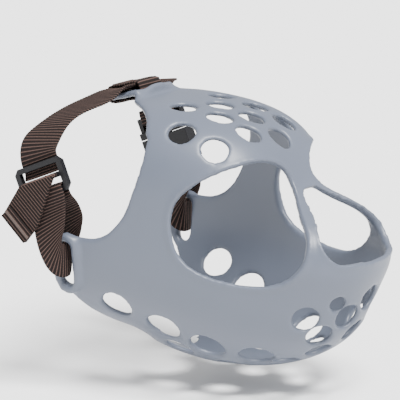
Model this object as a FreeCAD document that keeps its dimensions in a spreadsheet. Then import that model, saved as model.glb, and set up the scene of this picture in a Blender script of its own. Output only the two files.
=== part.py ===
import FreeCAD, Part
import math
import os

# Basket muzzle for a short-nosed dog: a one-piece moulded silicone shell with eye, nose and
# breathing openings, held on by a ribbed webbing strap. The strap runs over the crown, through a
# ladder lock on the dog's right and a side-release buckle on its left, to a slot in each cheek tab.
# Frame: origin in the middle of the dog's head, nose towards -Y, dog's left towards +X, up +Z.

V = FreeCAD.Vector

doc = FreeCAD.newDocument("basket_muzzle")
sheet = doc.addObject("Spreadsheet::Sheet", "sizes")

SIZES = {
    "wall": 3.0, "hole_bore": 13.0,
    "slot_long": 23.5, "slot_wide": 7.0, "slot_rim": 4.0, "slot_proud": 1.6,
    "slot_back": 56.5, "slot_drop": 13.0,
    "crown_edge": 41.0, "crown_corner": 20.0, "crown_rise": 67.3, "crown_tilt": 14.0,
    "tongue_wide": 34.0, "tongue_long": 19.6, "tongue_thick": 3.0,
    "tongue_slot_wide": 24.4, "tongue_slot_near": 0.6, "tongue_slot_far": 3.4,
    "lip_wide": 38.0, "lip_thick": 3.4, "lip_peak": 70.5,
    "strap_wide": 22.0, "strap_thick": 1.5, "cupped_wide": 16.5, "cupped_thick": 2.0,
    "keeper_wide": 20.0, "strap_gap": 0.4,
    "lock_out": 66.0, "lock_back": 64.0, "lock_up": 30.0, "lock_tilt": 22.0,
    "lock_wide": 29.0, "lock_long": 17.0, "lock_thick": 3.0, "lock_window": 4.5, "lock_bar": 2.5,
    "web_window": 23.0,
    "buckle_out": 64.0, "buckle_back": 73.0, "buckle_up": 31.0, "buckle_tilt": 22.0,
    "buckle_wide": 29.0, "buckle_thick": 8.4, "frame_thick": 4.0,
    "socket_long": 23.0, "socket_deep": 16.0, "socket_wide": 20.0, "socket_high": 4.8,
    "catch_near": 8.0, "catch_far": 15.5, "web_slot": 3.2, "web_bar": 2.6,
    "base_long": 12.0, "base_shoulder": 5.0, "base_window": 4.4, "blade_wide": 5.0,
    "blade_long": 13.0, "blade_thick": 3.0, "mouth_gap": 0.4,
    "prong_thick": 1.8, "prong_deep": 4.0, "prong_long": 12.9, "prong_out": 9.65,
    "prong_root": 1.6, "barb_proud": 0.65, "barb_near": 9.4,
    "tail_thick": 1.8, "tail_out": 70.3, "hem_thick": 1.3, "hem_wide": 7.0,
    "tack_wide": 2.4, "tack_long": 16.0, "tack_thick": 0.5,
}
for row, (alias, value) in enumerate(SIZES.items(), start=1):
    sheet.set("A%d" % row, alias)
    sheet.set("B%d" % row, str(value))
    sheet.setAlias("B%d" % row, alias)
doc.recompute()


def size(alias):
    """A driving dimension, read from the sheet."""
    return float(sheet.get(alias))


# ---------------------------------------------------------------- shared helpers

nodes = []


def node(obj, label):
    """Name a finished sub-part and list it for export."""
    obj.Label = label
    nodes.append(obj)
    return obj


def feature(label, shape):
    """A sub-part whose shape is worked out below, where no primitive or body fits."""
    obj = doc.addObject("Part::Feature", label)
    obj.Shape = shape
    obj.Placement = FreeCAD.Placement()
    return node(obj, label)


def box(name, corner, **sides):
    """Part::Box with its sides bound to the sheet."""
    obj = doc.addObject("Part::Box", name)
    for side, formula in sides.items():
        obj.setExpression(side, formula)
    obj.Placement.Base = V(0, 0, 0)
    for axis, formula in zip("xyz", corner):
        obj.setExpression("Placement.Base." + axis, formula)
    return obj


def cut(name, base, tools):
    """Cut several tools from a base, one after another."""
    for index, tool in enumerate(tools):
        step = doc.addObject("Part::Cut", "%s_cut%d" % (name, index))
        step.Base = base
        step.Tool = tool
        base = step
    return base


def fuse(name, shapes):
    obj = doc.addObject("Part::MultiFuse", name)
    obj.Shapes = shapes
    return obj


def body_sketch(body, plane):
    """A sketch on one of the body's own origin planes."""
    sketch = body.newObject("Sketcher::SketchObject", body.Name + "_sketch")
    origin = [item for item in body.Origin.OriginFeatures if item.Role == plane][0]
    sketch.AttachmentSupport = (origin, "")
    sketch.MapMode = "FlatFace"
    return sketch


def sketch_loop(sketch, points):
    """A closed loop of straight lines, joined corner to corner; returns its first line."""
    first = sketch.GeometryCount
    corners = [V(x, y, 0) for x, y in points]
    for start, end in zip(corners, corners[1:] + corners[:1]):
        sketch.addGeometry(Part.LineSegment(start, end), False)
    return first


# ---------------------------------------------------------------- the shell's outer surface

# Three rounded lobes, blended: the skull, the jaw and the basket round the nose.
# Each has its centre (y, z), its half sizes (x, y, z) and the squareness of its section.
LOBES = (
    ((67.5, 10.5), (58.3, 110.0, 55.0), 3.4),
    ((-8.0, -24.5), (44.0, 70.0, 42.5), 2.1),
    ((-54.0, -2.5), (34.5, 29.5, 18.5), 2.2),
)
BLEND = 0.12


def field(p):
    """Smooth union of the lobes: below zero inside, about the distance outside."""
    total = 0.0
    for (cy, cz), (ax, ay, az), power in LOBES:
        mean = (ax * ay * az) ** (1.0 / 3.0)
        reach = abs(p.x / ax) ** power + abs((p.y - cy) / ay) ** power
        reach += abs((p.z - cz) / az) ** power
        total += math.exp(-BLEND * mean * (reach ** (1.0 / power) - 1.0))
    return -math.log(total) / BLEND


def direction(turn, spread):
    """Unit vector from the origin: spread from straight ahead (-Y), turned from the top
    towards the dog's right."""
    turn = math.radians(turn)
    spread = math.radians(spread)
    side = math.sin(spread)
    return V(-side * math.sin(turn), -math.cos(spread), side * math.cos(turn))


def surface_point(turn, spread):
    ray = direction(turn, spread)
    inner = 20.0
    outer = 170.0
    for _ in range(26):
        middle = (inner + outer) / 2
        if field(ray * middle) < 0:
            inner = middle
        else:
            outer = middle
    return ray * inner


def surface_normal(p):
    step = 0.3
    slope = []
    for axis in (V(step, 0, 0), V(0, step, 0), V(0, 0, step)):
        slope.append(field(p + axis) - field(p - axis))
    return V(*slope).normalize()


def half_wall(side):
    """Faces of one half of the wall: outer, inner, and the rims at its nose and neck ends."""
    spreads = [1.0 + 145.0 * step / 36 for step in range(37)]
    turns = [180.0 * step / 34 for step in range(35)]
    outside = [[surface_point(side * turn, spread) for spread in spreads] for turn in turns]
    inside = [[p - surface_normal(p) * size("wall") for p in row] for row in outside]
    outer = Part.BSplineSurface()
    outer.interpolate(outside)
    inner = Part.BSplineSurface()
    inner.interpolate(inside)
    faces = [outer.toShape(), inner.toShape()]
    for end in (0, 1):
        outer_rim = outer.vIso(outer.bounds()[2 + end]).toShape()
        inner_rim = inner.vIso(inner.bounds()[2 + end]).toShape()
        rim = Part.makeLoft([Part.Wire([outer_rim]), Part.Wire([inner_rim])], False, True)
        faces.append(rim.Faces[0])
    return faces


def closed_solid(faces):
    shell = Part.Shell(faces)
    shell.sewShape()
    solid = Part.Solid(Part.Shell(shell.Faces))
    if solid.Volume < 0:
        solid.reverse()
    return solid


def smooth_loop(points):
    """A closed smooth curve through the points, as a wire."""
    curve = Part.BSplineCurve()
    curve.interpolate(points, PeriodicFlag=True)
    return Part.Wire([curve.toShape()])


def opening_cutter(outline, centre):
    """A cone-sided cutter from inside the head outwards, through an outline given as
    (turn, spread) directions about a centre direction."""
    middle = direction(*centre)
    rays = [direction(*point) for point in outline]
    loops = []
    for reach in (8.0, 120.0):
        loops.append(smooth_loop([ray * (reach / ray.dot(middle)) for ray in rays]))
    return Part.makeLoft(loops, True)


def prism(loop_points, push):
    """A solid pushed from a closed outline; runs of more than two points are smooth curves."""
    edges = []
    for run in loop_points:
        if len(run) == 2:
            edges.append(Part.LineSegment(*run).toShape())
        else:
            curve = Part.BSplineCurve()
            curve.interpolate(run)
            edges.append(curve.toShape())
    return Part.Face(Part.Wire(edges)).extrude(push)


# Openings, as (turn, spread) directions in degrees. The right side is the positive turn.
EYE = ((79, 88.3), (67, 86.5), (55, 75.6), (45, 64.6), (34, 56), (25, 49.2), (19.5, 42),
       (24, 33.8), (43, 28.4), (65, 27.4), (84, 28.4), (98, 31.4), (107.5, 38.5), (108.5, 47.5),
       (105.5, 60), (101.5, 71.5), (92, 84.2))
NOSE_HALF = ((0, 27.8), (14, 27.9), (28.5, 24.8), (46, 22.7), (64, 22.8), (84, 22.9),
             (96, 19.5), (101, 14), (110, 8), (135, 4))

# Breathing holes: rows of (turn, spread), each row mirrored to the other side. The upper jaw row
# is larger, given with its share of the usual bore.
CROWN_MIDDLE = ((0, 92.5), (0, 75.2), (0, 57.5))
CROWN_SIDES = ((16, 100.7), (16.5, 83.2), (18.5, 67), (36.5, 90.2), (39.7, 74.2))
JAW_LARGE = ((123.5, 118.5, 1.2), (134.5, 99.5, 1.3), (145, 80.4, 1.36), (153.5, 61.5, 1.3))
JAW_SIDES = ((153, 121), (153, 98), (164, 78), (136.7, 35.4), (153.3, 36), (168, 42.5), (166, 55),
             (158.8, 25))
CHIN_MIDDLE = ((180, 17.3), (180, 31))
CHIN_SMALL = ((140, 23.6),)

# Neck edge of the shell: down the cheek and round the tab and throat, as (y, z) seen from the
# side, and across the top, as (x, y) seen from above.
CHEEK_EDGE = ((15.8, 52), (16, 38), (19, 27.5), (24.5, 14.5), (34, 4.3), (47, 1.2), (58.5, 1.6),
              (65, -3.5), (67.8, -12), (66, -19), (58, -29.5), (48.5, -43), (38, -52.5),
              (27, -58.5), (14, -65), (8, -72))
BROW_EDGE = ((20, 41), (26.5, 33.5), (34.7, 25), (43.4, 19), (51, 16.2), (60, 15.8))


def neck_cutters():
    """What is cut away behind the neck edge: one pushed across, one pushed up."""
    reach = 160.0
    side = 80.0
    cheek = [V(-side, y, z) for y, z in CHEEK_EDGE]
    across = prism([cheek,
                    (cheek[-1], V(-side, 8, -reach)),
                    (V(-side, 8, -reach), V(-side, reach, -reach)),
                    (V(-side, reach, -reach), V(-side, reach, 52)),
                    (V(-side, reach, 52), cheek[0])], V(2 * side, 0, 0))
    base = 50.0
    right = [V(-x, y, base) for x, y in BROW_EDGE]
    left = [V(x, y, base) for x, y in reversed(BROW_EDGE)]
    upward = prism([left, (left[-1], right[0]), right,
                    (right[-1], V(-side, 15.8, base)),
                    (V(-side, 15.8, base), V(-side, reach, base)),
                    (V(-side, reach, base), V(side, reach, base)),
                    (V(side, reach, base), V(side, 15.8, base)),
                    (V(side, 15.8, base), left[0])], V(0, 0, 60))
    return [across, upward]


def hole_cutter(turn, spread, diameter):
    p = surface_point(turn, spread)
    normal = surface_normal(p)
    return Part.makeCylinder(diameter / 2, 22, p - normal * 11, normal)


def hole_cutters():
    cutters = []
    for turn, spread in CROWN_MIDDLE + CHIN_MIDDLE:
        cutters.append(hole_cutter(turn, spread, size("hole_bore")))
    for side in (-1, 1):
        for turn, spread in CROWN_SIDES + JAW_SIDES:
            cutters.append(hole_cutter(side * turn, spread, size("hole_bore")))
        for turn, spread, share in JAW_LARGE:
            cutters.append(hole_cutter(side * turn, spread, size("hole_bore") * share))
        for turn, spread in CHIN_SMALL:
            cutters.append(hole_cutter(side * turn, spread, size("hole_bore") * 0.62))
    return cutters


def stadium(centre, normal, long_side, wide, depth):
    """A slot-shaped prism, long side upright, centred on its own depth."""
    half = (long_side - wide) / 2
    radius = wide / 2
    arc_up = Part.Arc(V(-radius, half, 0), V(0, half + radius, 0), V(radius, half, 0))
    arc_down = Part.Arc(V(radius, -half, 0), V(0, -half - radius, 0), V(-radius, -half, 0))
    down = Part.LineSegment(V(radius, half, 0), V(radius, -half, 0))
    up = Part.LineSegment(V(-radius, -half, 0), V(-radius, half, 0))
    wire = Part.Wire([arc_up.toShape(), down.toShape(), arc_down.toShape(), up.toShape()])
    solid = Part.Face(wire).extrude(V(0, 0, depth))
    solid.translate(V(0, 0, -depth / 2))
    turn = FreeCAD.Rotation(V(), V(0, 0, 1), normal, "ZYX")
    solid.Placement = FreeCAD.Placement(centre, turn).multiply(solid.Placement)
    return solid


def slot_place(side):
    """Point on the tab's outer surface at the strap slot; side is -1 on the dog's right."""
    target = V(0, size("slot_back"), -size("slot_drop"))
    low = 30.0
    high = 80.0
    for _ in range(26):
        middle = (low + high) / 2
        if field(V(middle, target.y, target.z)) < 0:
            low = middle
        else:
            high = middle
    return V(side * low, target.y, target.z)


def crown_frame():
    """Frame of the strap seat behind the crown edge: y runs back and down, z is outward."""
    turn = FreeCAD.Rotation(V(1, 0, 0), -size("crown_tilt"))
    return FreeCAD.Placement(V(0, size("crown_edge"), size("crown_rise")), turn)


def crown_lip():
    """The arched lip across the crown edge, in front of the strap."""
    half = size("lip_wide") / 2
    front = size("crown_edge") - size("lip_thick")
    arch = [V(-half, front, 65.6), V(-half * 0.55, front, 68.4), V(0, front, size("lip_peak")),
            V(half * 0.55, front, 68.4), V(half, front, 65.6)]
    low = [V(half, front, 63.0), V(-half, front, 63.0)]
    return prism([arch, (arch[-1], low[0]), tuple(low), (low[1], arch[0])],
                 V(0, size("lip_thick"), 0))


def crown_tongue():
    """The strap seat behind the lip, with the slot that the keeper goes through."""
    wide = size("tongue_wide")
    thick = size("tongue_thick")
    seat = Part.makeBox(wide, size("tongue_long") + 1.0, thick, V(-wide / 2, -1.0, -thick / 2))
    upright = [edge for edge in seat.Edges if abs(edge.tangentAt(edge.FirstParameter).z) > 0.9]
    rear = [edge for edge in upright if edge.CenterOfMass.y > 1.0]
    seat = seat.makeFillet(4.0, rear)
    slot_wide = size("tongue_slot_wide")
    near = size("tongue_slot_near")
    slot = Part.makeBox(slot_wide, size("tongue_slot_far") - near, 3 * thick,
                        V(-slot_wide / 2, near, -1.5 * thick))
    seat = seat.cut(slot)
    seat.Placement = crown_frame()
    return seat


def make_shell():
    wall = closed_solid(half_wall(1) + half_wall(-1))
    nose = [(turn, spread) for turn, spread in NOSE_HALF]
    nose += [(-turn, spread) for turn, spread in reversed(NOSE_HALF[1:])]
    cutters = neck_cutters()
    cutters.append(opening_cutter(nose, (0, 16)))
    cutters.append(opening_cutter(EYE, (75, 55)))
    cutters.append(opening_cutter([(-turn, spread) for turn, spread in EYE], (-75, 55)))
    wall = wall.cut(cutters)
    added = [crown_lip(), crown_tongue()]
    slots = []
    for side in (-1, 1):
        p = slot_place(side)
        normal = surface_normal(p)
        rim = 2 * size("slot_rim")
        depth = size("wall") + size("slot_proud")
        middle = p + normal * (size("slot_proud") - size("wall") + 0.2) / 2
        added.append(stadium(middle, normal, size("slot_long") + rim, size("slot_wide") + rim, depth))
        slots.append(stadium(p, normal, size("slot_long"), size("slot_wide"), 30.0))
    wall = wall.fuse(added).cut(hole_cutters() + slots)
    return wall


shell_shape = make_shell()
print("shell", shell_shape.ShapeType, len(shell_shape.Solids), round(shell_shape.Volume),
      shell_shape.isValid())
feature("muzzle_shell", shell_shape.Solids[0])


# ---------------------------------------------------------------- straps and their hardware

def cheek_frame(side, name):
    """Frame of a fitting on a cheek strap: y runs up the strap, leaning back by the fitting's
    tilt, and z outwards. side is -1 on the dog's right."""
    lean = math.radians(size(name + "_tilt"))
    up = V(0, math.sin(lean), math.cos(lean))
    across = V(0, math.cos(lean), -math.sin(lean)) * side
    origin = V(side * size(name + "_out"), size(name + "_back"), size(name + "_up"))
    return FreeCAD.Placement(origin, FreeCAD.Rotation(across, up, V(side, 0, 0), "ZYX"))


def ribbon(stations, thick):
    """Webbing as a solid through stations (centre, width direction, normal, width)."""
    sections = []
    for centre, across, normal, wide in stations:
        half = across.normalize() * (wide / 2)
        rise = normal.normalize() * (thick / 2)
        corners = [centre + half + rise, centre - half + rise, centre - half - rise,
                   centre + half - rise]
        sections.append(Part.makePolygon(corners + corners[:1]))
    solid = Part.makeLoft(sections, True)
    if solid.Volume < 0:
        solid.reverse()
    return solid


def squared(across, travel):
    """Normal of a strap that runs along travel with its width along across."""
    return across.cross(travel).normalize()


def path_stations(points, wide):
    """Stations along (centre, width direction) points, each normal square to the run."""
    stations = []
    for index, (centre, across) in enumerate(points):
        before = points[max(index - 1, 0)][0]
        after = points[min(index + 1, len(points) - 1)][0]
        stations.append((centre, V(across), squared(V(across), after - before), wide))
    return stations


def local_path(side, frame, rows):
    """Rows of (x, y, z) in a cheek fitting's frame, with the webbing's width towards the back."""
    across = frame.Rotation.multVec(V(side, 0, 0))
    return [(frame.multVec(V(*row)), across) for row in rows]


lock_frame = cheek_frame(-1, "lock")
mouth_frame = cheek_frame(1, "buckle")
seat_frame = crown_frame()
thick = size("strap_thick")

# The crown strap: up from the ladder lock, behind the right ear and across the strap seat.
seat_middle = size("tongue_slot_far") + 0.3 + size("cupped_wide") / 2
seat_height = size("tongue_thick") / 2 + 0.4 + size("cupped_thick") / 2
STRAP_JOIN = 7.0


def seat_stations(xs):
    across = seat_frame.Rotation.multVec(V(0, 1, 0))
    normal = seat_frame.Rotation.multVec(V(0, 0, 1))
    return [(seat_frame.multVec(V(x, seat_middle, seat_height)), V(across), V(normal),
             size("cupped_wide")) for x in xs]


def bar_wrap(bar, reach, hand):
    """Rows of webbing folded over a bar at height bar in a fitting's frame, from its outer side
    round to its inner side. hand is 1 where the fold is above the bar and -1 where it is below."""
    near = hand * (size("web_bar") / 2 + size("strap_thick") / 2 + size("strap_gap"))
    corner = 0.9
    return [(0, bar - near, reach * 0.97), (0, bar, reach), (0, bar + near * corner, reach * corner),
            (0, bar + near, 0), (0, bar + near * corner, -reach * corner), (0, bar, -reach),
            (0, bar - near, -reach * 0.97)]


def branch(side, low_rows, frame, brow_points):
    """Strap from its low end on a cheek up over the brow to the seat."""
    brow = [(V(side * x, y, z), V(side * lean, 0.98, -0.15)) for x, y, z, lean in brow_points]
    last = (seat_stations([side * 18])[0][0], V(0, 0.97, -0.24))
    low = local_path(side, frame, low_rows)
    stations = path_stations(low + brow + [last], size("strap_wide"))[:-1]
    if stations[-1][2].z < 0:
        stations = [(centre, across, normal * -1, wide) for centre, across, normal, wide in stations]
    return stations


RIGHT_BROW = ((62.4, 68.4, 45.5, 0), (56.0, 66, 54, -0.1), (44, 60.5, 60.8, -0.15),
              (29, 55.5, 65.2, -0.08))
LEFT_BROW = ((60.2, 80, 52, 0), (53.5, 74, 59, -0.1), (42.5, 65.5, 63, -0.15), (29, 57.5, 65.6, -0.08))

right_rows = [(0, 2.0, -0.9), (0, 6.0, -2.6), (0, 10.0, -2.4)]
seat_run = seat_stations([-18, -14, -10, -6, -2, 2, STRAP_JOIN])
crown = branch(-1, right_rows, lock_frame, RIGHT_BROW) + seat_run
feature("crown_strap", ribbon(crown, thick))

base_bar = size("base_long") - size("web_bar") / 2
web_reach = size("frame_thick") / 2 + thick / 2 + size("strap_gap")
left_rows = [(0, base_bar + 5.0, -2.4)] + bar_wrap(base_bar, web_reach, -1)[::-1]
left_rows.append((0, base_bar + 6.0, 1.6))
seat_run = seat_stations([18, 14, 10.5, STRAP_JOIN + 0.4])
left = branch(1, left_rows, mouth_frame, LEFT_BROW) + seat_run
feature("left_strap", ribbon(left, thick))

# Keeper: a sewn band round the strap and the seat's rear bar, through the seat's slot.
keeper = doc.addObject("PartDesign::Body", "keeper")
keeper_sketch = body_sketch(keeper, "YZ_Plane")
inner_near = size("tongue_slot_far") - 0.5
inner_far = size("tongue_long") + 0.9
inner_low = -size("tongue_thick") / 2 - size("strap_gap")
inner_high = seat_height + size("cupped_thick") / 2 + size("strap_gap")
outer_corners = [(inner_near - thick, inner_low - thick), (inner_far + thick, inner_low - thick),
                 (inner_far + thick, inner_high + thick), (inner_near - thick, inner_high + thick)]
inner_corners = [(inner_near, inner_low), (inner_far, inner_low), (inner_far, inner_high),
                 (inner_near, inner_high)]
sketch_loop(keeper_sketch, outer_corners)
sketch_loop(keeper_sketch, inner_corners)
keeper_pad = keeper.newObject("PartDesign::Pad", "keeper_pad")
keeper_pad.Profile = keeper_sketch
keeper_pad.setExpression("Length", "sizes.keeper_wide")
keeper_pad.SideType = "Symmetric"
keeper.Placement = seat_frame
node(keeper, "crown_keeper")

tack = doc.addObject("Part::Box", "keeper_tack")
tack.setExpression("Length", "sizes.tack_long")
tack.setExpression("Width", "sizes.tack_wide")
tack.setExpression("Height", "sizes.tack_thick")
tack_corner = V(-size("tack_long") / 2, inner_far - 4.0, inner_high + thick)
tack.Placement = seat_frame.multiply(FreeCAD.Placement(tack_corner, FreeCAD.Rotation()))
node(tack, "keeper_stitching")


def anchor_loop(side, frame, bar, reach):
    """Webbing loop from a bar down the outside of the tab, in through the slot and back up the
    inside. bar is the bar's height in the frame; reach is how far the webbing clears its middle."""
    fold = local_path(side, frame, bar_wrap(bar, reach, 1))
    top, across = fold[3]
    over = fold[1][0]
    slot = slot_place(side) - V(side * size("wall") / 2, 0, 0)
    drop = over.z - slot.z
    back = over.y - slot.y

    def down(out, part_back, part_drop, across):
        """A point of the loop part of the way from the slot up to the bar."""
        centre = V(side * out, slot.y + back * part_back, slot.z + drop * part_drop)
        return (centre, V(side * across[0], across[1], across[2]))

    outer = fold[3::-1] + [down(67.0, 0.76, 0.74, (0.04, 0.9, -0.42)),
                           down(67.2, 0.56, 0.47, (0.1, 0.8, -0.58)),
                           down(66.8, 0.34, 0.24, (0.14, 0.57, -0.8)),
                           down(64.8, 0.14, 0.07, (0.08, 0.24, -0.96)),
                           down(61.4, 0.02, 0.01, (0, 0.04, -1))]
    inner = [down(53.4, 0.04, 0.02, (0, 0.12, -0.99)), down(51.2, 0.16, 0.1, (0, 0.4, -0.9)),
             down(50.8, 0.3, 0.28, (0, 0.66, -0.75)), down(52.2, 0.5, 0.5, (0, 0.86, -0.5)),
             down(56.6, 0.74, 0.74, (0, 0.9, -0.42))] + fold[:2:-1]
    whole = path_stations(outer + [(slot, V(0, 0, -1))] + inner, size("strap_wide"))
    middle = len(outer)
    ends = (top, V(across), squared(V(across), fold[2][0] - fold[4][0]), size("strap_wide"))
    whole[0] = ends
    whole[-1] = ends
    return [ribbon(run, size("strap_thick")) for run in (whole[:middle + 1], whole[middle:])]


# Ladder lock on the right cheek: a flat frame with two windows and a middle bar.
def ladder_lock():
    body = doc.addObject("PartDesign::Body", "lock")
    sketch = body_sketch(body, "XY_Plane")
    wide = size("lock_wide") / 2
    long_side = size("lock_long") / 2
    chamfer = 2.5
    sketch_loop(sketch, [(-wide + chamfer, -long_side), (wide - chamfer, -long_side),
                         (wide, -long_side + chamfer), (wide, long_side - chamfer),
                         (wide - chamfer, long_side), (-wide + chamfer, long_side),
                         (-wide, long_side - chamfer), (-wide, -long_side + chamfer)])
    half_web = size("web_window") / 2
    for near in (size("lock_bar") / 2, -size("lock_bar") / 2 - size("lock_window")):
        far = near + size("lock_window")
        sketch_loop(sketch, [(-half_web, near), (half_web, near), (half_web, far), (-half_web, far)])
    pad = body.newObject("PartDesign::Pad", "lock_pad")
    pad.Profile = sketch
    pad.setExpression("Length", "sizes.lock_thick")
    pad.SideType = "Symmetric"
    body.Placement = lock_frame
    return node(body, "ladder_lock")


ladder_lock()
lower_bar = -(size("lock_long") / 2 + size("lock_bar") / 2 + size("lock_window")) / 2
loop_reach = size("lock_thick") / 2 + size("strap_thick") / 2 + size("strap_gap")
outer_run, inner_run = anchor_loop(-1, lock_frame, lower_bar, loop_reach)
feature("right_loop_outer", outer_run)
feature("right_loop_inner", inner_run)

# The strap's free tail hangs from the lock as a flat flap; its end is hemmed.
TAIL_OUTLINE = ((84.1, 11.2), (71.3, -1.2), (64.3, 7.2), (59.0, 21.0), (53.9, 34.2), (73.9, 26.5))


def side_plate(name, outline, inner, outer):
    """A flat plate between two distances on the dog's right, from a (y, z) outline."""
    body = doc.addObject("PartDesign::Body", name)
    sketch = body_sketch(body, "YZ_Plane")
    sketch_loop(sketch, outline)
    pad = body.newObject("PartDesign::Pad", name + "_pad")
    pad.Profile = sketch
    pad.setExpression("Length", outer + " - (" + inner + ")")
    body.setExpression("Placement.Base.x", "-(" + outer + ")")
    return body


tail_plate = side_plate("tail_plate", TAIL_OUTLINE, "sizes.tail_out", "sizes.tail_out + sizes.tail_thick")
neck_low = 2.8
neck = doc.addObject("Part::Box", "tail_neck")
neck.setExpression("Length", "sizes.strap_wide")
neck.Width = 1.6
neck.Height = size("tail_out") - size("lock_out") - neck_low + 0.2
neck_corner = V(-size("strap_wide") / 2, -0.8, neck_low)
neck.Placement = lock_frame.multiply(FreeCAD.Placement(neck_corner, FreeCAD.Rotation()))
node(fuse("tail", [tail_plate, neck]), "strap_tail")

end_top = V(0, *TAIL_OUTLINE[0])
end_low = V(0, *TAIL_OUTLINE[1])
inward = V(0, -(end_top - end_low).z, (end_top - end_low).y).normalize()


def hem_outline(start, stop):
    """A band across the tail, between two distances from its free end."""
    corners = [end_top + inward * start, end_low + inward * start, end_low + inward * stop,
               end_top + inward * stop]
    return [(corner.y, corner.z) for corner in corners]


hem = side_plate("hem", hem_outline(0, size("hem_wide")), "sizes.tail_out + sizes.tail_thick",
                 "sizes.tail_out + sizes.tail_thick + sizes.hem_thick")
node(hem, "tail_hem")
seam_start = size("hem_wide") - size("tack_wide") * 1.5
seam = side_plate("seam", hem_outline(seam_start, seam_start + size("tack_wide") / 2),
                  "sizes.tail_out + sizes.tail_thick + sizes.hem_thick",
                  "sizes.tail_out + sizes.tail_thick + sizes.hem_thick + sizes.tack_thick")
node(seam, "hem_stitching")

# ---------------------------------------------------------------- side-release buckle, left cheek


def socket():
    """The buckle's female half: a flat socket open at the mouth, side catches and a web bar."""
    outer = box("socket_outer", ("-sizes.buckle_wide / 2", "-sizes.socket_long",
                                 "-sizes.buckle_thick / 2"),
                Length="sizes.buckle_wide", Width="sizes.socket_long", Height="sizes.buckle_thick")
    hollow = box("socket_hollow", ("-sizes.socket_wide / 2", "-sizes.socket_deep",
                                   "-sizes.socket_high / 2"),
                 Length="sizes.socket_wide", Width="sizes.socket_deep + 5",
                 Height="sizes.socket_high")
    catches = box("socket_catches", ("-sizes.buckle_wide", "-sizes.catch_far",
                                     "-sizes.socket_high / 2"),
                  Length="2 * sizes.buckle_wide", Width="sizes.catch_far - sizes.catch_near",
                  Height="sizes.socket_high")
    web = box("socket_web", ("-sizes.web_window / 2",
                             "-sizes.socket_long + sizes.web_bar", "-sizes.buckle_thick"),
              Length="sizes.web_window", Width="sizes.web_slot", Height="2 * sizes.buckle_thick")
    thin = []
    for name, low in (("socket_above", "sizes.frame_thick / 2"),
                      ("socket_below", "-sizes.frame_thick / 2 - sizes.buckle_thick")):
        thin.append(box(name, ("-sizes.buckle_wide", "-sizes.socket_long - 1", low),
                        Length="2 * sizes.buckle_wide",
                        Width="sizes.web_bar + sizes.web_slot + 1.6",
                        Height="sizes.buckle_thick"))
    whole = cut("socket", outer, [hollow, catches, web] + thin)
    whole.Placement = mouth_frame
    return node(whole, "buckle_socket")


def base():
    """The buckle's male half: shoulder, web window and bar, with a guide blade."""
    block = box("base_block", ("-sizes.buckle_wide / 2", "sizes.mouth_gap",
                               "-sizes.frame_thick / 2"),
                Length="sizes.buckle_wide", Width="sizes.base_long - sizes.mouth_gap",
                Height="sizes.frame_thick")
    shoulder = box("base_shoulder", ("-sizes.buckle_wide / 2", "sizes.mouth_gap",
                                     "-sizes.buckle_thick / 2"),
                   Length="sizes.buckle_wide", Width="sizes.base_shoulder - 1.2",
                   Height="sizes.buckle_thick")
    blade = box("base_blade", ("-sizes.blade_wide / 2", "-sizes.blade_long",
                               "-sizes.blade_thick / 2"),
                Length="sizes.blade_wide", Width="sizes.blade_long + 1",
                Height="sizes.blade_thick")
    window = box("base_web", ("-sizes.web_window / 2", "sizes.base_shoulder", "-sizes.buckle_thick"),
                 Length="sizes.web_window", Width="sizes.base_window",
                 Height="2 * sizes.buckle_thick")
    whole = cut("base", fuse("base_solid", [block, shoulder, blade]), [window])
    whole.Placement = mouth_frame
    return node(whole, "buckle_base")


def prong(name, hand):
    """A springy side arm with a barb near its tip; hand is the side of the buckle it is on."""
    body = doc.addObject("PartDesign::Body", name + "_body")
    sketch = body_sketch(body, "XY_Plane")
    outer = size("prong_out")
    inner = outer - size("prong_thick")
    root = -size("prong_root")
    tip = root - size("prong_long")
    barb = outer + size("barb_proud")
    shoulder = root - size("barb_near")
    bevel = size("prong_thick") * 0.3
    outline = [(inner + bevel, root + bevel * 1.6), (outer - bevel, root + bevel * 1.6),
               (outer, root), (outer, shoulder), (barb, shoulder), (barb, shoulder - 1.5),
               (outer - bevel, tip), (inner, tip + 0.4), (inner, root)]
    sketch_loop(sketch, [(hand * x, y) for x, y in outline])
    pad = body.newObject("PartDesign::Pad", name + "_pad")
    pad.Profile = sketch
    pad.setExpression("Length", "sizes.prong_deep")
    pad.SideType = "Symmetric"
    body.Placement = mouth_frame
    return node(body, name)


socket()
base()
prong("prong_front", -1)
prong("prong_rear", 1)
web_bar = -size("socket_long") + size("web_bar") / 2
outer_run, inner_run = anchor_loop(1, mouth_frame, web_bar, web_reach)
feature("left_loop_outer", outer_run)
feature("left_loop_inner", inner_run)

doc.recompute()
failed = [item.Label for item in doc.Objects if {"Invalid", "Error"} & set(item.State)]
for item in nodes:
    shape = item.Shape
    if shape.isNull() or not shape.isValid():
        failed.append(item.Label)
    print(item.Label, len(shape.Solids), round(shape.Volume), shape.isValid())
if failed:
    raise SystemExit("failed: " + ", ".join(failed))
os.makedirs("parts", exist_ok=True)
for item in nodes:
    item.Shape.exportStep("parts/%s.step" % item.Label)
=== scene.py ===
import math

import bmesh
import bpy
import numpy as np
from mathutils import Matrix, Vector
from mathutils.kdtree import KDTree


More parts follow.
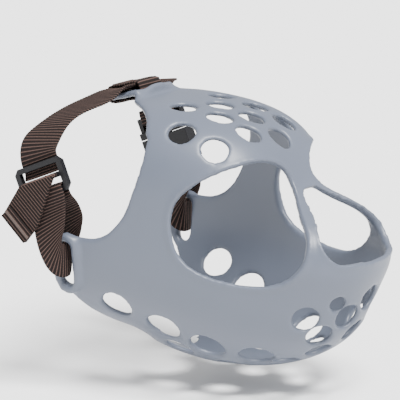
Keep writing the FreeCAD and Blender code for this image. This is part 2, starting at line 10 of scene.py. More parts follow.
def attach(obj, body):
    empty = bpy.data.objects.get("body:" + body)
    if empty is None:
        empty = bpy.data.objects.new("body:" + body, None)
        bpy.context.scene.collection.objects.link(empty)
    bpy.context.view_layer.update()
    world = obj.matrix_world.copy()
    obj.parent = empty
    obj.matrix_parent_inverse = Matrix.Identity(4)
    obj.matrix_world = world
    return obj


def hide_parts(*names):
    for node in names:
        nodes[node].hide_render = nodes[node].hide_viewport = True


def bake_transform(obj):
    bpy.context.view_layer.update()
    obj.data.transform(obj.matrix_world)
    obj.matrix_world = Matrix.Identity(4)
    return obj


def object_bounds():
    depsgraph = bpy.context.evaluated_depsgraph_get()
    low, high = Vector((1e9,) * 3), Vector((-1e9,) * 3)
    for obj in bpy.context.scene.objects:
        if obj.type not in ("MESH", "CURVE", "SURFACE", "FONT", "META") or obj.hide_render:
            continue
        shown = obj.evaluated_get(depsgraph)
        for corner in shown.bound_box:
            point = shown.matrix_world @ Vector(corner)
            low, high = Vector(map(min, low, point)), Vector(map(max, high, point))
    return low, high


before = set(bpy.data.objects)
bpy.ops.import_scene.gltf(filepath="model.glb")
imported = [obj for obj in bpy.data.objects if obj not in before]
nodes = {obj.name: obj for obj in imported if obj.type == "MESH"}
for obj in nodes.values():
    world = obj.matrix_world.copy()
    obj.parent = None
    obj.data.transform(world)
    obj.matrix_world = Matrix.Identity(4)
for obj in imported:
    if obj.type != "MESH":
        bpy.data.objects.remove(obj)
cad_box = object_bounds()

MM = 0.001
TINY = 1e-6

# ---------------------------------------------------------------- the shell's outer surface

# Skull, jaw and basket: centre (y, z), half sizes and squareness of each rounded lobe, in mm.
LOBES = (
    ((67.5, 10.5), (58.3, 110.0, 55.0), 3.4),
    ((-8.0, -24.5), (44.0, 70.0, 42.5), 2.1),
    ((-54.0, -2.5), (34.5, 29.5, 18.5), 2.2),
)
BLEND = 0.12
WALL = 3.0


def field(p):
    """Distance-like height above the shell's outer surface, for rows of points in mm."""
    total = 0.0
    for (cy, cz), (ax, ay, az), power in LOBES:
        mean = (ax * ay * az) ** (1.0 / 3.0)
        reach = np.abs(p[:, 0] / ax) ** power
        reach = reach + np.abs((p[:, 1] - cy) / ay) ** power
        reach = reach + np.abs((p[:, 2] - cz) / az) ** power
        total = total + np.exp(-BLEND * mean * (reach ** (1.0 / power) - 1.0))
    return -np.log(total) / BLEND


def slope(p):
    """Gradient of the field, for rows of points in mm."""
    step = 0.3
    columns = []
    for axis in np.eye(3) * step:
        columns.append((field(p + axis) - field(p - axis)) / (2 * step))
    return np.stack(columns, axis=1)


def unit(rows):
    return rows / np.maximum(np.linalg.norm(rows, axis=-1, keepdims=True), 1e-9)


def surface_points(directions):
    """Points in mm on the outer surface, for (turn, spread) directions in degrees."""
    turn, spread = np.radians(np.array(directions, float)).T
    side = np.sin(spread)
    rays = np.stack([-side * np.sin(turn), -np.cos(spread), side * np.cos(turn)], axis=1)
    inner = np.full(len(rays), 20.0)
    outer = np.full(len(rays), 170.0)
    for _ in range(26):
        middle = (inner + outer) / 2
        inside = field(rays * middle[:, None]) < 0
        inner = np.where(inside, middle, inner)
        outer = np.where(inside, outer, middle)
    return rays * inner[:, None]


def spline(points, samples, closed=False):
    """Smooth rows of points: a natural cubic through them, sampled evenly along their length."""
    points = np.array(points, float)
    if closed:
        points = np.vstack([points[-3:], points, points[:4]])
    gaps = np.linalg.norm(np.diff(points[:, :3], axis=0), axis=1)
    knots = np.concatenate([[0.0], np.cumsum(gaps)])
    count = len(points)
    matrix = np.eye(count)
    right = np.zeros_like(points)
    for i in range(1, count - 1):
        before, after = gaps[i - 1], gaps[i]
        matrix[i, i - 1:i + 2] = before, 2 * (before + after), after
        right[i] = 6 * ((points[i + 1] - points[i]) / after - (points[i] - points[i - 1]) / before)
    bend = np.linalg.solve(matrix, right)
    start, end = (knots[3], knots[-4]) if closed else (0.0, knots[-1])
    at = np.linspace(start, end, samples, endpoint=not closed)
    span = np.clip(np.searchsorted(knots, at, side="right") - 1, 0, count - 2)
    gap = gaps[span][:, None]
    near = (knots[span + 1] - at)[:, None]
    far = (at - knots[span])[:, None]
    rows = (bend[span] * near ** 3 + bend[span + 1] * far ** 3) / (6 * gap)
    rows += (points[span] / gap - bend[span] * gap / 6) * near
    rows += (points[span + 1] / gap - bend[span + 1] * gap / 6) * far
    return rows


# ---------------------------------------------------------------- helpers


def read(mesh, attribute="co"):
    rows = np.zeros(len(mesh.vertices) * 3)
    mesh.vertices.foreach_get(attribute, rows)
    return rows.reshape(-1, 3)


def write(mesh, rows):
    mesh.vertices.foreach_set("co", rows.astype(np.float32).ravel())
    mesh.update()


def add_object(name, mesh):
    obj = bpy.data.objects.new(name, mesh)
    bpy.context.scene.collection.objects.link(obj)
    return obj


def applied(obj):
    """The object's mesh with its modifiers applied, as a mesh of its own."""
    bpy.context.view_layer.update()
    graph = bpy.context.evaluated_depsgraph_get()
    mesh = bpy.data.meshes.new_from_object(obj.evaluated_get(graph))
    obj.modifiers.clear()
    obj.data = mesh
    return mesh


def smooth_faces(mesh):
    mesh.polygons.foreach_set("use_smooth", [True] * len(mesh.polygons))


def finished(work, name):
    """A smooth-shaded object from a work mesh, which is freed."""
    mesh = bpy.data.meshes.new(name)
    work.to_mesh(mesh)
    work.free()
    smooth_faces(mesh)
    return add_object(name, mesh)


def welded(node):
    """A work copy of a CAD solid's mesh with its corners joined."""
    work = bmesh.new()
    work.from_mesh(nodes[node].data)
    bmesh.ops.remove_doubles(work, verts=work.verts, dist=TINY)
    return work


def rounded(work, edges, width, segments):
    """Bevels edges of a work mesh by a width in mm."""
    bmesh.ops.bevel(work, geom=edges, offset=width * MM, offset_type="OFFSET",
                    segments=segments, profile=0.5, affect="EDGES", clamp_overlap=True,
                    material=-1)


# ---------------------------------------------------------------- moulded shell

EYE = ((79, 88.3), (67, 86.5), (55, 75.6), (45, 64.6), (34, 56), (25, 49.2), (19.5, 42),
       (24, 33.8), (43, 28.4), (65, 27.4), (84, 28.4), (98, 31.4), (107.5, 38.5), (108.5, 47.5),
       (105.5, 60), (101.5, 71.5), (92, 84.2))
NOSE_HALF = ((0, 27.8), (14, 27.9), (28.5, 24.8), (46, 22.7), (64, 22.8), (84, 22.9),
             (96, 19.5), (101, 14), (110, 8), (135, 4))
VOXEL = 0.98 * MM
EDGE_SAMPLES = 400
# Points this near the true surface, and facing nearly along its normal, are set back on it.
SNAP_REACH = 0.7
SNAP_FADE = 0.35
FACING_LOW = 0.93
FACING_FADE = 0.05
BEAD_WIDE = 3.0
BEAD_HIGH = 1.3
BEAD_DEEP = 2.2
BEAD_FADE = 1.2
RIM_KEPT = 3.0
EDGE_ZONE = 5.0
THROAT_FRONT = 1.0
THROAT_TOP = -46.0
ROUGH_ROUNDS = 6
FINAL_ROUNDS = 3
EDGE_ROUNDS = 5
THROAT_ROUNDS = 48


def relaxed(mesh, rounds, chosen=None):
    """Evens out a mesh or its chosen points, moving each half way to its neighbours' middle."""
    work = bmesh.new()
    work.from_mesh(mesh)
    work.verts.ensure_lookup_table()
    moving = work.verts[:] if chosen is None else [work.verts[index] for index in chosen]
    for _ in range(rounds):
        bmesh.ops.smooth_vert(work, verts=moving, factor=0.5,
                              use_axis_x=True, use_axis_y=True, use_axis_z=True)
    bmesh.ops.recalc_face_normals(work, faces=work.faces)
    work.to_mesh(mesh)
    work.free()


def opening_points():
    """Points in mm along the edges of the eye and nose openings, on the outer surface."""
    right = surface_points(EYE)
    nose = NOSE_HALF + tuple((-turn, spread) for turn, spread in reversed(NOSE_HALF[1:]))
    loops = [right, right * (-1, 1, 1), surface_points(nose)]
    return np.vstack([spline(loop, EDGE_SAMPLES, closed=True) for loop in loops])


def make_shell():
    """The CAD shell remeshed finely, its faces set back on the true surface and its edges
    softened, with a rolled bead round the eyes and nose."""
    shell = finished(welded("muzzle_shell"), "silicone_shell")
    remesh = shell.modifiers.new("fine", "REMESH")
    remesh.mode = "VOXEL"
    remesh.voxel_size = VOXEL
    mesh = applied(shell)
    relaxed(mesh, ROUGH_ROUNDS)
    smooth_faces(mesh)
    rows = read(mesh) / MM
    facing = read(mesh, "normal")
    out = unit(slope(rows))
    height = field(rows)
    rims = opening_points()
    tree = KDTree(len(rims))
    for index, point in enumerate(rims):
        tree.insert(point, index)
    tree.balance()
    near = np.array([tree.find(row)[2] for row in rows])
    flat = np.abs((facing * out).sum(axis=1))
    gap = np.where(height > -WALL / 2, 0.0, -WALL) - height
    close = np.clip((SNAP_REACH - np.abs(gap)) / SNAP_FADE, 0, 1)
    away = np.clip((near - RIM_KEPT) / (EDGE_ZONE - RIM_KEPT), 0, 1)
    settle = np.clip((flat - FACING_LOW) / FACING_FADE, 0, 1) * close * away
    rows += out * (settle * gap)[:, None]
    swell = np.clip(1 - (near / BEAD_WIDE) ** 2, 0, 1) ** 1.5
    raised = np.clip((height + BEAD_DEEP) / BEAD_FADE, 0, 1)
    rows += out * (BEAD_HIGH * swell * raised)[:, None]
    write(mesh, rows * MM)
    relaxed(mesh, FINAL_ROUNDS)
    relaxed(mesh, EDGE_ROUNDS, np.flatnonzero(near < EDGE_ZONE))
    throat = (rows[:, 1] > THROAT_FRONT) & (rows[:, 2] < THROAT_TOP)
    relaxed(mesh, THROAT_ROUNDS, np.flatnonzero(throat))
    return shell


# ---------------------------------------------------------------- ribbed webbing

STRAP_WIDE = 22.0
STRAP_THICK = 1.5
CUPPED_WIDE = 16.5
CUP = 1.5
FLAT = 0.0
GAP = 0.4
RIB_PITCH = 1.6
RIB_HIGH = 0.2
ROWS_PER_RIB = 6
AROUND = 36


def fitting(side, origin, tilt):
    """A cheek fitting's frame as (origin, across, up, out); tilt leans up towards the back."""
    lean = math.radians(tilt)
    return (np.array(origin), np.array((0, math.cos(lean), -math.sin(lean))) * side,
            np.array((0, math.sin(lean), math.cos(lean))), np.array((side, 0.0, 0.0)))


def placed(place, x, y, z):
    origin, across, up, out = place
    return origin + across * x + up * y + out * z


def rib_rise(along):
    """Height of the ribs, as a share of their full height, along webbing in mm."""
    return (0.5 + 0.5 * np.cos(2 * math.pi * along / RIB_PITCH)) ** 1.6 - 0.4


def webbing(name, stations, closed=False):
    """A length of ribbed webbing through stations of (centre, width direction, width, cup)."""
    rows = np.array([np.concatenate([centre, unit(np.array(across, float)), [wide, cup]])
                     for centre, across, wide, cup in stations])
    rough = spline(rows, 200, closed)
    length = np.linalg.norm(np.diff(rough[:, :3], axis=0), axis=1).sum()
    count = int(length / RIB_PITCH * ROWS_PER_RIB)
    path = spline(rows, count, closed)
    centre = path[:, :3]
    across = unit(path[:, 3:6])
    if closed:
        travel = unit(np.roll(centre, -1, axis=0) - np.roll(centre, 1, axis=0))
    else:
        travel = unit(np.gradient(centre, axis=0))
    normal = unit(np.cross(across, travel))
    work = bmesh.new()
    bmesh.ops.create_grid(work, x_segments=AROUND, y_segments=count - (not closed), size=0.5)
    layer = work.loops.layers.uv.new("weave")
    work.verts.ensure_lookup_table()
    flat = np.array([vert.co for vert in work.verts])
    turn = 2 * math.pi * (flat[:, 0] + 0.5)
    line = np.rint((flat[:, 1] + 0.5) * (count - (not closed)))
    row = line.astype(int) % count
    along = line * RIB_PITCH / ROWS_PER_RIB
    half = path[row, 6] / 2
    sideways = np.sign(np.cos(turn)) * np.abs(np.cos(turn)) ** 0.45 * half
    rise = np.sign(np.sin(turn)) * np.abs(np.sin(turn)) ** 0.55 * STRAP_THICK / 2
    edge = np.clip(np.abs(np.sin(turn)) * 2.2, 0, 1)
    rise += np.sign(np.sin(turn)) * rib_rise(along) * edge * RIB_HIGH
    rise -= path[row, 7] * (sideways / half) ** 2
    spots = centre[row] + across[row] * sideways[:, None] + normal[row] * rise[:, None]
    for vert, spot in zip(work.verts, spots):
        vert.co = spot * MM
    for face in work.faces:
        for loop in face.loops:
            index = loop.vert.index
            loop[layer].uv = (sideways[index] * MM, along[index] * MM)
    bmesh.ops.remove_doubles(work, verts=work.verts, dist=TINY)
    if not closed:
        rims = [rim for rim in work.edges if rim.is_boundary]
        bmesh.ops.holes_fill(work, edges=rims, sides=AROUND + 1)
    bmesh.ops.recalc_face_normals(work, faces=work.faces)
    return finished(work, name)


RIGHT_LOCK = fitting(-1, (-66.0, 64.0, 30.0), 22.0)
LEFT_BUCKLE = fitting(1, (64.0, 73.0, 31.0), 22.0)
SEAT_TILT = math.radians(-14)
SEAT_ORIGIN = np.array((0, 41.0, 67.3))
SEAT_BACK = np.array((0, math.cos(SEAT_TILT), math.sin(SEAT_TILT)))
SEAT_UP = np.array((0, -math.sin(SEAT_TILT), math.cos(SEAT_TILT)))
# The webbing narrows by GATHER, in mm, towards the slot and sits high in it.
GATHER = 5.0
SLOT_OUT = 56.6
SLOT_BACK = 56.5
SLOT_UP = -13.0 + GATHER * 0.4
SEAT_MIDDLE = 11.95
SEAT_HEIGHT = 2.9
KEEPER_WIDE = 20.0


def on_seat(xs):
    """Stations along the strap seat behind the crown edge."""
    middle = SEAT_ORIGIN + SEAT_BACK * SEAT_MIDDLE + SEAT_UP * SEAT_HEIGHT
    return [(middle + (x, 0, 0), SEAT_BACK, CUPPED_WIDE, CUP) for x in xs]


def over_brow(side, rows):
    return [((side * x, y, z), (side * lean, 0.98, -0.15), STRAP_WIDE, FLAT)
            for x, y, z, lean in rows]


def in_fitting(side, place, rows):
    """Stations at (along the fitting, outwards) rows, the webbing's width towards the back."""
    return [(placed(place, 0, y, z), place[1] * side, STRAP_WIDE, FLAT) for y, z in rows]


def bar_fold(bar, reach, hand):
    """Rows of webbing folded over a bar, from its outer side round to its inner side."""
    near = hand * (1.3 + STRAP_THICK / 2 + GAP)
    corner = 0.9
    return [(bar - near, reach * 0.97), (bar, reach), (bar + near * corner, reach * corner),
            (bar + near, 0), (bar + near * corner, -reach * corner), (bar, -reach),
            (bar - near, -reach * 0.97)]


def anchor_loop(name, side, place, bar, reach):
    """The loop from a fitting's bar through the tab's slot and back up inside the tab."""
    fold = in_fitting(side, place, bar_fold(bar, reach, 1))
    over = fold[1][0]
    slot = np.array((side * SLOT_OUT, SLOT_BACK, SLOT_UP))
    back = over[1] - slot[1]
    drop = over[2] - slot[2]

    def down(out, part_back, part_drop, across):
        centre = (side * out, slot[1] + back * part_back, slot[2] + drop * part_drop)
        wide = STRAP_WIDE - GATHER * (1 - part_drop)
        return (centre, (side * across[0], across[1], across[2]), wide, FLAT)

    outer = fold[3::-1] + [down(67.0, 0.76, 0.74, (0.04, 0.9, -0.42)),
                           down(67.2, 0.56, 0.47, (0.1, 0.8, -0.58)),
                           down(66.8, 0.34, 0.24, (0.14, 0.57, -0.8)),
                           down(64.8, 0.14, 0.07, (0.08, 0.24, -0.96)),
                           down(61.4, 0.02, 0.01, (0, 0.04, -1))]
    inner = [down(53.4, 0.04, 0.02, (0, 0.12, -0.99)), down(51.2, 0.16, 0.1, (0, 0.4, -0.9)),
             down(50.8, 0.3, 0.28, (0, 0.66, -0.75)), down(52.2, 0.5, 0.5, (0, 0.86, -0.5)),
             down(56.6, 0.74, 0.74, (0, 0.9, -0.42))] + fold[:3:-1]
    whole = outer + [(slot, (0, 0, -1), STRAP_WIDE - GATHER, FLAT)] + inner
    return webbing(name, whole, closed=True)


RIGHT_BROW = ((62.4, 68.4, 45.5, 0), (56.0, 66, 54, -0.1), (44, 60.5, 60.8, -0.15),
              (29, 55.5, 65.2, -0.08))
LEFT_BROW = ((60.2, 80, 52, 0), (53.5, 74, 59, -0.1), (42.5, 65.5, 63, -0.15),
             (29, 57.5, 65.6, -0.08))
LOCK_BAR = -7.125
LOCK_REACH = 2.65
SOCKET_BAR = -21.7
BASE_BAR = 10.7
BUCKLE_REACH = 3.15


def right_strap():
    rows = ((2.0, -0.9), (6.0, -2.6), (10.0, -2.4))
    stations = in_fitting(-1, RIGHT_LOCK, rows) + over_brow(-1, RIGHT_BROW)
    return webbing("crown_webbing", stations + on_seat((-18, -14, -10, -6, -2, 2, 7)))


def left_strap():
    rows = [(BASE_BAR + 5.0, -2.4)] + bar_fold(BASE_BAR, BUCKLE_REACH, -1)[::-1]
    rows.append((BASE_BAR + 6.0, 1.6))
    stations = in_fitting(1, LEFT_BUCKLE, rows) + over_brow(1, LEFT_BROW)
    return webbing("left_webbing", stations + on_seat((18, 14, 10.5, 7.4)))


def keeper():
    """The band sewn round the strap and the rear bar of its seat."""
    near, far = 2.15, 21.25
    low, high = -2.65, 5.05
    round_off = 1.6
    corners = ((near, low, 1, 1), (far, low, -1, 1), (far, high, -1, -1), (near, high, 1, -1))
    stations = []
    for y, z, right, up in corners:
        legs = ((0, up), (right * 0.3, up * 0.3), (right, 0))
        if right != up:
            legs = legs[::-1]
        for step_y, step_z in legs:
            back = SEAT_BACK * (y + round_off * step_y)
            rise = SEAT_UP * (z + round_off * step_z)
            stations.append((SEAT_ORIGIN + back + rise, (1, 0, 0), KEEPER_WIDE, FLAT))
        if right == up:
            middle = SEAT_ORIGIN + SEAT_BACK * (near + far) / 2 + SEAT_UP * z
            stations.append((middle, (1, 0, 0), KEEPER_WIDE, FLAT))
    return webbing("keeper_band", stations, closed=True)


TAIL_OUTLINE = ((84.1, 11.2), (71.3, -1.2), (64.3, 7.2), (59.0, 21.0), (53.9, 34.2), (73.9, 26.5))
TAIL_IN = 70.3
TAIL_OUT = 72.1
HEM_OUT = 73.4
HEM_WIDE = 7.0
# Size and middle of the sheet the tail's pieces are cut from, along and inwards of the free edge.
TAIL_REACH = (44.0, 46.0)
TAIL_MIDDLE = (12.0, 21.0)
FREE_TOP = np.array(TAIL_OUTLINE[0])
FREE_LOW = np.array(TAIL_OUTLINE[1])
FREE_ALONG = unit(FREE_LOW - FREE_TOP)
FREE_INWARD = np.array((FREE_ALONG[1], -FREE_ALONG[0]))


def hem_outline(stop):
    """Corners of the band across the tail, from its free edge to this far in."""
    return (FREE_TOP, FREE_LOW, FREE_LOW + FREE_INWARD * stop, FREE_TOP + FREE_INWARD * stop)


def flat_webbing(name, outline, inner, outer):
    """A flat piece of the tail: ribs run along the free edge, outline given as (y, z)."""
    corners = [Vector((0, *corner)) * MM for corner in outline]
    middle = sum(corners, Vector()) / len(corners)
    work = bmesh.new()
    bmesh.ops.create_grid(work, x_segments=30, y_segments=230, size=0.5)
    for vert in work.verts:
        along = FREE_ALONG * (vert.co.x * TAIL_REACH[0] + TAIL_MIDDLE[0])
        inward = FREE_INWARD * (vert.co.y * TAIL_REACH[1] + TAIL_MIDDLE[1])
        spot = FREE_TOP + along + inward
        vert.co = (-outer * MM, spot[0] * MM, spot[1] * MM)
    for here, after in zip(corners, corners[1:] + corners[:1]):
        side = (after - here).cross(Vector((1, 0, 0)))
        if side.dot(here - middle) < 0:
            side.negate()
        bmesh.ops.bisect_plane(work, geom=work.verts[:] + work.edges[:] + work.faces[:],
                               dist=1e-7, plane_co=here, plane_no=side, clear_outer=True)
    pushed = bmesh.ops.extrude_face_region(work, geom=work.faces[:])["geom"]
    lifted = [item for item in pushed if isinstance(item, bmesh.types.BMVert)]
    bmesh.ops.translate(work, verts=lifted, vec=((outer - inner) * MM, 0, 0))
    bmesh.ops.recalc_face_normals(work, faces=work.faces)
    rims = [edge for edge in work.edges if edge.calc_face_angle(0) > math.radians(60)]
    rounded(work, rims, 0.35, 2)
    layer = work.loops.layers.uv.new("weave")
    for face in work.faces:
        for loop in face.loops:
            spot = np.array(loop.vert.co.yz) / MM - FREE_TOP
            loop[layer].uv = (spot @ FREE_ALONG * MM, spot @ FREE_INWARD * MM)
    for vert in work.verts:
        inward = (np.array(vert.co.yz) / MM - FREE_TOP) @ FREE_INWARD
        outwards = 1 if vert.co.x < -(inner + outer) / 2 * MM else -1
        vert.co.x -= rib_rise(inward) * RIB_HIGH * outwards * MM
    return finished(work, name)


def tail_neck():
    """The short turn of webbing that carries the tail out of the lock."""
    stations = in_fitting(-1, RIGHT_LOCK, ((0, 2.9), (0, 3.8), (0, 4.8)))
    return webbing("tail_neck", stations)


# ---------------------------------------------------------------- moulded plastic fittings


def softened(name, node, width):
    """A CAD fitting with its edges rounded off."""
    work = welded(node)
    bmesh.ops.dissolve_limit(work, angle_limit=math.radians(2), verts=work.verts, edges=work.edges)
    sharp = [edge for edge in work.edges
             if len(edge.link_faces) == 2 and edge.calc_face_angle() > math.radians(25)]
    rounded(work, sharp, width, 3)
    piece = finished(work, name)
    piece.modifiers.new("flats", "WEIGHTED_NORMAL")
    return piece


# ---------------------------------------------------------------- materials


def new_group(name, inputs, outputs):
    group = bpy.data.node_groups.new(name, "ShaderNodeTree")
    for label, kind, value in inputs:
        socket = group.interface.new_socket(label, in_out="INPUT", socket_type=kind)
        if value is not None:
            socket.default_value = value
    for label, kind in outputs:
        group.interface.new_socket(label, in_out="OUTPUT", socket_type=kind)
    return group, group.nodes.new("NodeGroupInput"), group.nodes.new("NodeGroupOutput")


def put(tree, kind, links=(), **values):
    """Adds a node, sets its fields and joins (socket, source) pairs into it."""
    node = tree.nodes.new(kind)
    for field_name, value in values.items():
        setattr(node, field_name, value)
    for socket, source in links:
        if hasattr(source, "is_output"):
            tree.links.new(source, node.inputs[socket])
        else:
            node.inputs[socket].default_value = source
    return node


def maths(tree, operation, *terms):
    return put(tree, "ShaderNodeMath", list(enumerate(terms)), operation=operation).outputs[0]


def mottle_group():
    """Slow patches and fine pits over a moulded surface: a mask, a roughness and a height."""
    group, start, end = new_group(
        "moulded_mottle",
        (("Place", "NodeSocketVector", None), ("Patch Scale", "NodeSocketFloat", 30.0),
         ("Pit Scale", "NodeSocketFloat", 1600.0), ("Roughness", "NodeSocketFloat", 0.4),
         ("Spread", "NodeSocketFloat", 0.1)),
        (("Mask", "NodeSocketFloat"), ("Roughness", "NodeSocketFloat"),
         ("Height", "NodeSocketFloat")))
    place = start.outputs["Place"]
    patch = put(group, "ShaderNodeTexNoise", [("Vector", place), ("Detail", 3.0),
                                              ("Scale", start.outputs["Patch Scale"])])
    pits = put(group, "ShaderNodeTexNoise", [("Vector", place), ("Detail", 2.0),
                                             ("Scale", start.outputs["Pit Scale"])])
    swing = maths(group, "SUBTRACT", patch.outputs["Fac"], 0.5)
    rough = maths(group, "MULTIPLY_ADD", swing, start.outputs["Spread"],
                  start.outputs["Roughness"])
    fine = maths(group, "MULTIPLY_ADD", maths(group, "SUBTRACT", pits.outputs["Fac"], 0.5),
                 0.08, rough)
    group.links.new(patch.outputs["Fac"], end.inputs["Mask"])
    group.links.new(fine, end.inputs["Roughness"])
    group.links.new(pits.outputs["Fac"], end.inputs["Height"])
    return group


def weave_group():
    """Cross ribs on webbing from its own map in metres: a mask of painted highlight along the rib
    crests, broken by the cross yarn and fibre fuzz, and a height.
    """
    group, start, end = new_group(
        "ribbed_weave",
        (("Map", "NodeSocketVector", None), ("Pitch", "NodeSocketFloat", 0.0016),
         ("Yarn", "NodeSocketFloat", 0.0008)),
        (("Crest Highlight", "NodeSocketFloat"), ("Height", "NodeSocketFloat")))
    split = put(group, "ShaderNodeSeparateXYZ", [(0, start.outputs["Map"])])
    turn = 2 * math.pi
    across = maths(group, "DIVIDE", maths(group, "MULTIPLY", split.outputs["X"], turn),
                   start.outputs["Yarn"])
    along = maths(group, "DIVIDE", maths(group, "MULTIPLY", split.outputs["Y"], turn),
                  start.outputs["Pitch"])
    rib = maths(group, "MULTIPLY_ADD", maths(group, "COSINE", along), 0.5, 0.5)
    offset = maths(group, "MULTIPLY_ADD", along, 0.5, across)
    yarn = maths(group, "MULTIPLY_ADD", maths(group, "COSINE", offset), 0.5, 0.5)
    # A narrow painted highlight along each rib crest.
    crest_highlight = maths(group, "POWER", rib, 7.0)
    thread = maths(group, "MULTIPLY_ADD", yarn, 0.55, 0.45)
    fuzz = put(group, "ShaderNodeTexNoise", [("Vector", start.outputs["Map"]), ("Scale", 2600.0),
                                             ("Detail", 3.0)])
    fuzz_varied = maths(group, "MULTIPLY_ADD", fuzz.outputs["Fac"], 0.9, 0.5)
    # The painted crest highlight, broken by the cross yarn and fibre fuzz.
    ribbed = maths(group, "MULTIPLY", maths(group, "MULTIPLY", crest_highlight, thread), fuzz_varied)
    height = maths(group, "ADD", maths(group, "MULTIPLY", yarn, 0.4),
                   maths(group, "MULTIPLY", fuzz.outputs["Fac"], 0.3))
    group.links.new(ribbed, end.inputs["Crest Highlight"])
    group.links.new(height, end.inputs["Height"])
    return group


def material(name):
    paint = bpy.data.materials.new(name)
    paint.use_nodes = True
    return paint, paint.node_tree, paint.node_tree.nodes["Principled BSDF"]


def blend_colours(tree, mask, first, second):
    """Mixes two colours by a mask."""
    node = put(tree, "ShaderNodeMix", [("Factor", mask)], data_type="RGBA")
    colours = [socket for socket in node.inputs if socket.type == "RGBA"]
    for socket, value in zip(colours, (first, second)):
        socket.default_value = (*value, 1)
    return [socket for socket in node.outputs if socket.type == "RGBA"][0]


def bump(tree, shader, height, strength, distance):
    node = put(tree, "ShaderNodeBump", [("Height", height), ("Strength", strength),
                                        ("Distance", distance)])
    tree.links.new(node.outputs["Normal"], shader.inputs["Normal"])


def moulded_finish(name, group, dark, light, roughness, spread, patch, pit, bump_depth, gloss=0.5):
    """A moulded surface: two close shades in slow patches, with fine pits."""
    paint, tree, shader = material(name)
    shader.inputs["Specular IOR Level"].default_value = gloss
    place = put(tree, "ShaderNodeTexCoord").outputs["Object"]
    mottle = put(tree, "ShaderNodeGroup",
                 [("Place", place), ("Patch Scale", patch), ("Pit Scale", pit),
                  ("Roughness", roughness), ("Spread", spread)], node_tree=group)
    colour = blend_colours(tree, mottle.outputs["Mask"], dark, light)
    tree.links.new(colour, shader.inputs["Base Color"])
    tree.links.new(mottle.outputs["Roughness"], shader.inputs["Roughness"])
    bump(tree, shader, mottle.outputs["Height"], 0.25, bump_depth)
    return paint


def webbing_finish(name, group, dark, light):
    """Dark brown webbing with a lighter colour painted along its rib crests as a highlight, and near
    black between them as painted shade in the grooves.
    """
    paint, tree, shader = material(name)
    place = put(tree, "ShaderNodeUVMap", uv_map="weave").outputs["UV"]
    weave = put(tree, "ShaderNodeGroup",
                [("Map", place), ("Pitch", RIB_PITCH * MM), ("Yarn", RIB_PITCH * MM / 2)],
                node_tree=group)
    # The light colour is a painted highlight on the rib crests. The dark one is the webbing's own
    # colour, deepened to painted shade in the grooves.
    colour = blend_colours(tree, weave.outputs["Crest Highlight"], dark, light)
    tree.links.new(colour, shader.inputs["Base Color"])
    shader.inputs["Roughness"].default_value = 0.85
    shader.inputs["Specular IOR Level"].default_value = 0.2
    bump(tree, shader, weave.outputs["Height"], 0.5, 0.0003)
    return paint


def dress(piece, body, paint, slot_name, *stands_for):
    """Gives a piece its material and, unless it bends between bodies, its body. It stands
    for the CAD solids named last."""
    if body is not None:
        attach(piece, body)
    piece.data.materials.clear()
    piece.data.materials.append(paint)
    if stands_for:
        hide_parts(*stands_for)


mottle = mottle_group()
weave = weave_group()
silicone = moulded_finish("blue_grey_silicone", mottle, (0.086, 0.100, 0.133), (0.100, 0.115, 0.152),
                          0.42, 0.12, 26.0, 1500.0, 0.00006)
plastic = moulded_finish("black_moulded_plastic", mottle, (0.004, 0.004, 0.005),
                         (0.009, 0.009, 0.011), 0.4, 0.2, 90.0, 4200.0, 0.00005, gloss=0.22)
# Near-black grooves as painted shade, and a lighter brown painted on the rib crests as a highlight.
brown = webbing_finish("brown_webbing_painted_crest_light", weave, (0.007, 0.004, 0.0035), (0.13, 0.078, 0.064))
thread = moulded_finish("brown_thread", mottle, (0.05, 0.034, 0.028), (0.09, 0.062, 0.052),
                        0.8, 0.1, 400.0, 3000.0, 0.0001)

dress(make_shell(), "muzzle", silicone, "shell_silicone", "muzzle_shell")
dress(right_strap(), "muzzle", brown, "webbing", "crown_strap")
dress(keeper(), "muzzle", brown, "webbing", "crown_keeper")
right_loop = anchor_loop("right_anchor_loop", -1, RIGHT_LOCK, LOCK_BAR, LOCK_REACH)
dress(right_loop, "muzzle", brown, "webbing", "right_loop_outer", "right_loop_inner")
left_loop = anchor_loop("left_anchor_loop", 1, LEFT_BUCKLE, SOCKET_BAR, BUCKLE_REACH)
dress(left_loop, "muzzle", brown, "webbing", "left_loop_outer", "left_loop_inner")
left_webbing = left_strap()
dress(left_webbing, None, brown, "webbing", "left_strap")
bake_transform(left_webbing)
tail = flat_webbing("tail_webbing", TAIL_OUTLINE, TAIL_IN, TAIL_OUT)
dress(tail, "tail", brown, "webbing", "strap_tail")
dress(tail_neck(), "tail", brown, "webbing")
hem = flat_webbing("tail_hem_band", hem_outline(HEM_WIDE), TAIL_OUT, HEM_OUT)
dress(hem, "tail", brown, "webbing", "tail_hem")
dress(softened("hem_thread", "hem_stitching", 0.1), "tail", thread, "thread", "hem_stitching")
dress(softened("keeper_thread", "keeper_stitching", 0.1), "muzzle", thread, "thread",
      "keeper_stitching")
for label, cad_node, home, width in (("ladder_lock_frame", "ladder_lock", "muzzle", 0.5),
                                     ("buckle_female", "buckle_socket", "muzzle", 0.45),
                                     ("buckle_male", "buckle_base", "buckle_male", 0.4),
                                     ("buckle_prong_front", "prong_front", "prong_front", 0.25),
                                     ("buckle_prong_rear", "prong_rear", "prong_rear", 0.25)):
    dress(softened(label, cad_node, width), home, plastic, "black_plastic", cad_node)

# ---------------------------------------------------------------- light, floor and camera


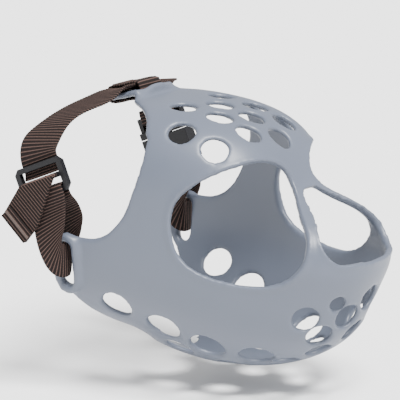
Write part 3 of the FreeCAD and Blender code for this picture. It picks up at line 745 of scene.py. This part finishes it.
FLOOR_DROP = 0.012
SKY_POWER = 0.85
SUN_POWER = 9.5
SUN_FROM = (-0.2, -0.45, 0.87)


def studio():
    """A plain pale floor under a white sky, with one soft sun from above the front."""
    floor_mesh = bpy.data.meshes.new("floor")
    work = bmesh.new()
    bmesh.ops.create_grid(work, x_segments=1, y_segments=1, size=3.0)
    work.to_mesh(floor_mesh)
    work.free()
    floor = add_object("floor", floor_mesh)
    floor.location = (0, 0, cad_box[0][2] - FLOOR_DROP)
    paint = bpy.data.materials.new("floor_white")
    paint.use_nodes = True
    shader = paint.node_tree.nodes["Principled BSDF"]
    shader.inputs["Base Color"].default_value = (0.93, 0.93, 0.93, 1)
    shader.inputs["Roughness"].default_value = 0.9
    floor_mesh.materials.append(paint)
    world = bpy.data.worlds.new("studio")
    world.use_nodes = True
    sky = world.node_tree.nodes["Background"]
    sky.inputs["Color"].default_value = (1, 1, 1, 1)
    sky.inputs["Strength"].default_value = SKY_POWER
    bpy.context.scene.world = world
    sun = bpy.data.lights.new("soft_sun", "SUN")
    sun.energy = SUN_POWER
    sun.angle = math.radians(30)
    lamp = bpy.data.objects.new("soft_sun", sun)
    lamp.rotation_euler = Vector(SUN_FROM).to_track_quat("Z", "Y").to_euler()
    bpy.context.scene.collection.objects.link(lamp)


CAMERA_TURN = math.radians(-60)
CAMERA_RISE = math.radians(13)
CAMERA_AWAY = 1.1
CAMERA_LENS = 198.0
CAMERA_SHIFT = (-0.0625, 0.07)


def camera():
    back = Vector((math.sin(CAMERA_TURN) * math.cos(CAMERA_RISE),
                   -math.cos(CAMERA_TURN) * math.cos(CAMERA_RISE), math.sin(CAMERA_RISE)))
    lens = bpy.data.cameras.new("camera")
    lens.sensor_width = 36.0
    lens.lens = CAMERA_LENS
    lens.shift_x, lens.shift_y = CAMERA_SHIFT
    lens.clip_start = 0.05
    eye = bpy.data.objects.new("camera", lens)
    eye.location = back * CAMERA_AWAY
    eye.rotation_euler = back.to_track_quat("Z", "Y").to_euler()
    bpy.context.scene.collection.objects.link(eye)
    bpy.context.scene.camera = eye


studio()
camera()
